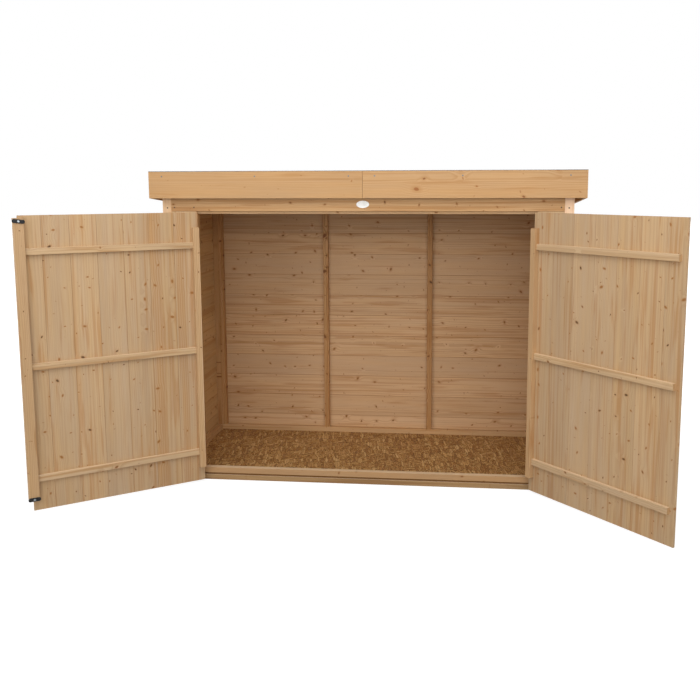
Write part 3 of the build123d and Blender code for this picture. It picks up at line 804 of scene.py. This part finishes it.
def pickTop(piece):     # in edit mode, selects the faces that look up
    mesh = bmesh.from_edit_mesh(piece.data)
    mesh.select_mode = {"FACE"}
    for face in mesh.faces:
        face.select_set(face.normal.z > facingUp)
    mesh.select_flush_mode()
    bmesh.update_edit_mesh(piece.data)


def startRound(sides, radius, low, high, squash=1.0):     # left in edit mode, with its top face picked
    deselectAll()
    bpy.ops.mesh.primitive_cylinder_add(
        vertices=sides, radius=radius, depth=high - low, location=(0, 0, (low + high) / 2)
    )
    piece = bpy.context.object
    piece.scale = (1.0, squash, 1.0)
    bpy.ops.object.transform_apply(location=True, rotation=True, scale=True)
    bpy.ops.object.mode_set(mode="EDIT")
    bpy.ops.mesh.select_mode(type="FACE")
    pickTop(piece)
    return piece


def endRound(smoothAngle):
    bpy.ops.object.mode_set(mode="OBJECT")
    bpy.ops.object.shade_smooth_by_angle(angle=math.radians(smoothAngle))


def finishPiece(piece, body, material):
    piece.data.materials.clear()
    piece.data.materials.append(material)
    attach(piece, body)


headSmooth = 35          # degrees


def roundHead(head):     # a nail or screw head on the ground, face up, sunk by its root
    piece = startRound(head["sides"], head["radius"], -head["root"], head["rise"])
    for step in head["dome"]:
        bpy.ops.mesh.inset(thickness=step["inset"] * head["radius"], depth=step["lift"])
    if head.get("slot"):
        bpy.ops.mesh.inset(thickness=head["slot"]["inset"] * head["radius"])
        bpy.ops.mesh.extrude_region_move(TRANSFORM_OT_translate={"value": (0, 0, -head["slot"]["depth"])})
    endRound(headSmooth)
    return piece


# copies of one head, each at its point and facing its own way
def scatter(name, head, spots, body, material):
    master = roundHead(head)
    copies = []
    for spot, outward in spots:
        copy = master.copy()
        copy.data = master.data.copy()
        copy.matrix_world = Matrix.Translation(spot) @ outward.to_track_quat("Z", "Y").to_matrix().to_4x4()
        bpy.context.collection.objects.link(copy)
        copies.append(copy)
    bpy.data.objects.remove(master)
    deselectAll()
    for copy in copies:
        copy.select_set(True)
    bpy.context.view_layer.objects.active = copies[0]
    bpy.ops.object.join()
    piece = bpy.context.object
    piece.name = name
    bpy.ops.object.transform_apply(location=True, rotation=True, scale=True)
    finishPiece(piece, body, material)
    print(name, len(spots))


outFront = Vector((0, -1, 0))
outRear = Vector((0, 1, 0))


def onDoor(side, spot, outward):     # a spot on the closed door, carried round to where the door stands
    return opening[side] @ Vector(spot), opening[side].to_3x3() @ outward


def middleOf(nodeName):
    low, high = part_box(nodeName)
    return (low + high) / 2


ledgeHeights = {place: middleOf("left_door_ledge_" + place).z for place in ("bottom", "middle", "top")}


# Nails: wire nail heads in the walls, the lintel, the fascia and the doors, and clouts in the felt

nailHead = {
    "radius": 0.0033, "rise": 0.0004, "root": 0.0012, "sides": 12,
    "dome": [{"inset": 0.35, "lift": 0.0002}],
}
cloutHead = {
    "radius": 0.0048, "rise": 0.0002, "root": 0.0012, "sides": 14,
    "dome": [{"inset": 0.3, "lift": 0.0002}],
}
nailPlan = {
    "fasciaX": (-0.904, -0.480, -0.062, 0.053, 0.435, 0.892),
    "fasciaDrop": 0.0215,    # below the fascia's upper edge
    "lintelX": (-0.860, -0.770, 0.860),
    "lintelRise": 0.018,     # above the lower edge of the lintel boards
    "trimX": 0.893,          # on the corner trims, front and rear
    "trimHeights": (0.06, 0.36, 0.66, 0.96, 1.276),
    "trimRearHeights": (0.06, 0.36, 0.66, 0.96, 1.26),
    "postX": 0.8600,         # at the rear corner posts
    "boardSpot": 0.050,      # above a board's lower edge
    "edge": 0.030,           # least distance under the roof
    "boardShares": (0.3, 0.68),        # two nails in each door board, at these shares of its width
    "ledgeOffsets": (-0.007, 0.007),   # one below the ledge's middle, one above
    "strapReach": 0.262,     # none under the hinge straps
    "feltInset": 0.018,      # clouts from the felt's front edge
    "feltPitch": 0.155,
    "foldRise": 0.016,       # clouts above the lower edge of the felt's fold
}
roofPitch = math.radians(4.6)
roofFall = math.tan(roofPitch)


def fasciaNails():
    plan = nailPlan
    low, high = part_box("fascia_left")
    return [(Vector((x, low.y, high.z - plan["fasciaDrop"])), outFront) for x in plan["fasciaX"]]


def frontNails():
    plan = nailPlan
    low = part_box("lintel_boards")[0]
    spots = [(Vector((x, low.y, low.z + plan["lintelRise"])), outFront) for x in plan["lintelX"]]
    for side in handed.values():
        for z in plan["trimHeights"]:
            spots.append((Vector((side * plan["trimX"], low.y, z)), outFront))
    return spots


def boardHeights(lowest, limit):     # one nail in each board, up to a limit
    height = lowest + nailPlan["boardSpot"]
    while height < limit:
        yield height
        height += boardCover


def wallNails():
    plan = nailPlan
    spots = []
    rearLow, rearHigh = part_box("rear_boards")
    for side in handed.values():
        for z in plan["trimRearHeights"]:
            spots.append((Vector((side * plan["trimX"], rearHigh.y, z)), outRear))
    for name, side in handed.items():
        low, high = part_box(name + "_side_boards")
        postLow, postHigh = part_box(name + "_side_posts")
        face = side * max(abs(low.x), abs(high.x))
        for y in (postLow.y + stock / 2, postHigh.y - stock / 2):
            limit = high.z - (y - low.y) * roofFall - plan["edge"]
            for z in boardHeights(low.z, limit):
                spots.append((Vector((face, y, z)), Vector((side, 0, 0))))
    studLow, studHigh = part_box("rear_studs")
    for x in (-plan["postX"], studLow.x + stock / 2, studHigh.x - stock / 2, plan["postX"]):
        for z in boardHeights(rearLow.z, rearHigh.z - plan["edge"]):
            spots.append((Vector((x, rearHigh.y, z)), outRear))
    return spots


def doorNails(side):
    plan = nailPlan
    face = closedBox(side + "_door_boards")[0].y
    edge = pins[side].x - handed[side] * doorHang["pinToEdge"]
    spots = []
    for place, height in ledgeHeights.items():
        for index in range(doorHang["boardCount"]):
            for share, offset in zip(plan["boardShares"], plan["ledgeOffsets"]):
                reach = (index + share) * boardCover
                if place != "middle" and reach < plan["strapReach"]:
                    continue
                spots.append(onDoor(side, (edge - handed[side] * reach, face, height + offset), outFront))
    return spots


def feltClouts():
    plan = nailPlan
    low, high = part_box("roof_felt")
    slopeUp = Vector((0, math.sin(roofPitch), math.cos(roofPitch)))
    foldFace = high.y - cloutHead["rise"] * 2     # heads pressed into the felt
    spots = []
    count = int((high.x - low.x) / plan["feltPitch"])
    for index in range(count):
        x = low.x + (index + 0.5) * (high.x - low.x) / count
        spots.append((Vector((x, foldFace, low.z + plan["foldRise"])), outRear))
        y = low.y + plan["feltInset"]
        spots.append((Vector((x, y, high.z - (y - low.y) * roofFall)), slopeUp))
    return spots


scatter("fascia_nails", nailHead, fasciaNails(), "root", dullNail)
scatter("front_nails", nailHead, frontNails(), "root", rustyNail)
scatter("wall_nails", nailHead, wallNails(), "root", dullNail)
scatter("felt_clouts", cloutHead, feltClouts(), "root", brightZinc)
for side in handed:
    scatter(side + "_door_nails", nailHead, doorNails(side), side + "_door", brightZinc)


# Screws: black dome heads in the hinges and the pad bolt

screwHead = {
    "radius": 0.0042, "rise": 0.0008, "root": 0.0020, "sides": 16,
    "dome": [{"inset": 0.22, "lift": 0.0006}, {"inset": 0.25, "lift": 0.0004}],
    "slot": {"inset": 0.18, "depth": 0.0008},
}
screwPlan = {
    "strapAlong": (0.026, 0.086, 0.146, 0.206),     # from the pin
    "leaf": 0.0025,                    # thickness of a strap or a plate
    "plateOut": (0.0155, 0.0315),      # from the pin
    "plateUp": 0.0390,                 # above and below the strap's middle
    "caseIn": (0.032, 0.123),          # bolt case screws from the pair's meeting line
    "keeperIn": (0.0165, 0.0405),
    "boltUp": 0.0135,                  # above and below the bolt's middle
    "boltPlate": 0.0020,
}
hingeHeights = (ledgeHeights["bottom"], ledgeHeights["top"])


def strapScrews(side):
    plan = screwPlan
    leafFace = closedBox(side + "_door_boards")[0].y - plan["leaf"]
    return [
        onDoor(side, (pins[side].x - handed[side] * along, leafFace, height), outFront)
        for height in hingeHeights for along in plan["strapAlong"]
    ]


def plateScrews():
    plan = screwPlan
    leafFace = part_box("jamb_board_left")[0].y - plan["leaf"]
    return [
        (Vector((pins[side].x + handed[side] * out, leafFace, height + up)), outFront)
        for side in handed for height in hingeHeights for out in plan["plateOut"]
        for up in (-plan["plateUp"], plan["plateUp"])
    ]


def boltScrews(side, reaches):
    plan = screwPlan
    face = closedBox(side + "_door_boards")[0].y - plan["boltPlate"]
    return [
        onDoor(side, (handed[side] * reach, face, ledgeHeights["middle"] + up), outFront)
        for reach in reaches for up in (-plan["boltUp"], plan["boltUp"])
    ]


for side in handed:
    scatter(side + "_strap_screws", screwHead, strapScrews(side), side + "_door", blackIron)
scatter("hinge_plate_screws", screwHead, plateScrews(), "root", blackIron)
for name, side in (("case", "right"), ("keeper", "left")):
    spots = boltScrews(side, screwPlan[name + "In"])
    scatter("bolt_" + name + "_screws", screwHead, spots, side + "_door", blackIron)


# Bare oval plate on the lintel

ovalPlate = {
    "x": -0.003, "z": 1.2915, "width": 0.057, "height": 0.032, "thickness": 0.0016, "sides": 48,
    "rim": 0.0016,
    "rimSteps": ((1 / 3, 1 / 4), (1 / 2, 0.0), (1 / 3, -1 / 4)),     # inset and lift, in rims
    "domeInset": 1 / 6,      # in heights of the plate
    "dome": 0.0003,
    "smooth": 40,            # degrees
    "face": "#f3f2ee", "shade": "#e4e3de", "mottleScale": 90.0, "mottle": (0.4, 0.75),
    "dull": (0.3, 0.7), "roughness": (0.28, 0.4),
}


def enamelMaterial():
    plate = ovalPlate
    material, tree, shader = newMaterial("white_enamel")
    mottle = noiseAt(tree, objectPoint(tree), plate["mottleScale"], detail=3.0)
    shaded = smoothRange(tree, mottle, *plate["mottle"])
    feed(tree, shader.inputs["Base Color"], mixColours(tree, shaded, plate["face"], plate["shade"]))
    feed(tree, shader.inputs["Roughness"], smoothRange(tree, mottle, *plate["dull"], *plate["roughness"]))
    return material


def makeOvalPlate():
    plate = ovalPlate
    squash = plate["height"] / plate["width"]
    piece = startRound(plate["sides"], plate["width"] / 2, 0.0, plate["thickness"], squash)
    piece.name = "oval_plate"
    for inset, lift in plate["rimSteps"]:
        bpy.ops.mesh.inset(thickness=plate["rim"] * inset, depth=plate["rim"] * lift)
    bpy.ops.mesh.inset(thickness=plate["height"] * plate["domeInset"], depth=plate["dome"])
    endRound(plate["smooth"])
    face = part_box("lintel_boards")[0].y
    turn = outFront.to_track_quat("Z", "Y").to_matrix().to_4x4()
    piece.matrix_world = Matrix.Translation((plate["x"], face, plate["z"])) @ turn
    bpy.ops.object.transform_apply(location=True, rotation=True, scale=True)
    finishPiece(piece, "root", enamelMaterial())


makeOvalPlate()
print("oval plate fitted")


# Studio: white floor and surround, soft boxes all round, camera where the photograph was taken

studio = {
    "ambient": 0.06,         # light from all round
    "floorTone": 0.80,
    "floorBounce": 0.60,     # what the floor gives back to the unit
    "floorSize": 60.0,
    "floorGlow": 1.35,
    "floorShadow": 0.35,     # how much of the shadow on the floor shows
    "shadowReach": (1.3, 2.6),
}
white = (1.0, 1.0, 1.0, 1.0)
softBoxes = {
    "front_soft_box": {"place": (0.3, -6.0, 1.9), "aim": (0.0, 0.0, 0.7), "size": (3.0, 2.0), "power": 60.0},
    "high_soft_box": {"place": (0.0, -5.0, 3.0), "aim": (0.0, 0.0, 0.8), "size": (6.0, 3.0), "power": 70.0},
    "top_soft_box": {"place": (0.0, -2.0, 3.2), "aim": (0.0, -0.3, 0.5), "size": (3.5, 1.5), "power": 54.0},
    "left_soft_box": {"place": (-3.0, -5.0, 2.0), "aim": (0.0, 0.0, 0.7), "size": (2.0, 2.0), "power": 42.0},
    "right_soft_box": {"place": (3.0, -5.0, 2.0), "aim": (0.0, 0.0, 0.7), "size": (2.0, 2.0), "power": 26.0},
    "left_side_soft_box": {
        "place": (-6.0, 1.0, 1.3), "aim": (-0.9, 0.0, 0.7), "size": (3.0, 1.2), "power": 110.0,
    },
    "right_side_soft_box": {
        "place": (6.0, 1.0, 1.3), "aim": (0.9, 0.0, 0.7), "size": (3.0, 1.2), "power": 110.0,
    },
    "rear_soft_box": {"place": (0.0, 5.5, 2.6), "aim": (0.0, 0.0, 0.7), "size": (4.0, 2.0), "power": 150.0},
}
cameraSetup = {
    "place": (0.41803, -4.06885, 1.36767),
    "yaw": -0.10319,         # radians
    "pitch": 0.13690,
    "roll": -0.00250,
    "lens": 42.92,
    "sensor": 36.0,
    "shift": (-0.0311, -0.0687),
}


def seenRay(tree):     # camera, glossy and see-through rays
    path = tree.nodes.new("ShaderNodeLightPath")
    seen = mathNode(tree, "MAXIMUM", path.outputs["Is Camera Ray"], path.outputs["Is Glossy Ray"])
    return mathNode(tree, "MAXIMUM", seen, path.outputs["Is Transmission Ray"])


def makeSurround():
    world = bpy.data.worlds.new("studio")
    bpy.context.scene.world = world
    world.use_nodes = True
    tree = world.node_tree
    tree.nodes.clear()
    level = timesPlus(tree, seenRay(tree), 1.0 - studio["ambient"], studio["ambient"])
    background = tree.nodes.new("ShaderNodeBackground")
    background.inputs["Color"].default_value = white
    feed(tree, background.inputs["Strength"], level)
    output = tree.nodes.new("ShaderNodeOutputWorld")
    tree.links.new(background.outputs[0], output.inputs["Surface"])


def makeFloor():
    deselectAll()
    bpy.ops.mesh.primitive_plane_add(size=studio["floorSize"], location=(0, 0, 0))
    floor = bpy.context.object
    floor.name = "studio_floor"
    material = bpy.data.materials.new("studio_floor")
    material.use_nodes = True
    tree = material.node_tree
    tree.nodes.clear()
    diffuse = tree.nodes.new("ShaderNodeBsdfDiffuse")
    seen = seenRay(tree)
    tone = timesPlus(tree, seen, studio["floorTone"] - studio["floorBounce"], studio["floorBounce"])
    feed(tree, diffuse.inputs["Color"], pointAt(tree, tone, tone, tone))
    glow = tree.nodes.new("ShaderNodeEmission")
    glow.inputs["Color"].default_value = white
    glow.inputs["Strength"].default_value = studio["floorGlow"]
    blend = tree.nodes.new("ShaderNodeMixShader")
    x, y = axesOf(tree, objectPoint(tree))[:2]
    reach = mathNode(tree, "SQRT", plus(tree, times(tree, x, x), times(tree, y, y)))
    shadowing = smoothRange(tree, reach, *studio["shadowReach"], studio["floorShadow"], 0.0)
    feed(tree, blend.inputs[0], times(tree, seen, minus(tree, 1.0, shadowing)))
    tree.links.new(diffuse.outputs[0], blend.inputs[1])
    tree.links.new(glow.outputs[0], blend.inputs[2])
    output = tree.nodes.new("ShaderNodeOutputMaterial")
    tree.links.new(blend.outputs[0], output.inputs["Surface"])
    floor.data.materials.append(material)


def makeSoftBox(name, box):
    deselectAll()
    bpy.ops.object.light_add(type="AREA", location=box["place"])
    lamp = bpy.context.object
    lamp.name = name
    lamp.data.shape = "RECTANGLE"
    lamp.data.size, lamp.data.size_y = box["size"]
    lamp.data.energy = box["power"]
    lamp.rotation_euler = (Vector(box["aim"]) - Vector(box["place"])).to_track_quat("-Z", "Y").to_euler()


def makeCamera():
    deselectAll()
    bpy.ops.object.camera_add()
    camera = bpy.context.object
    setup = cameraSetup
    turn = Matrix.Rotation(-setup["yaw"], 4, "Z") @ Matrix.Rotation(math.pi / 2 - setup["pitch"], 4, "X")
    camera.matrix_world = Matrix.Translation(setup["place"]) @ turn @ Matrix.Rotation(setup["roll"], 4, "Z")
    camera.data.sensor_fit = "HORIZONTAL"
    camera.data.sensor_width = setup["sensor"]
    camera.data.lens = setup["lens"]
    camera.data.shift_x, camera.data.shift_y = setup["shift"]
    bpy.context.scene.camera = camera


makeSurround()
makeFloor()
for name, box in softBoxes.items():
    makeSoftBox(name, box)
makeCamera()
bpy.context.scene.view_settings.view_transform = "Standard"
print("studio set")
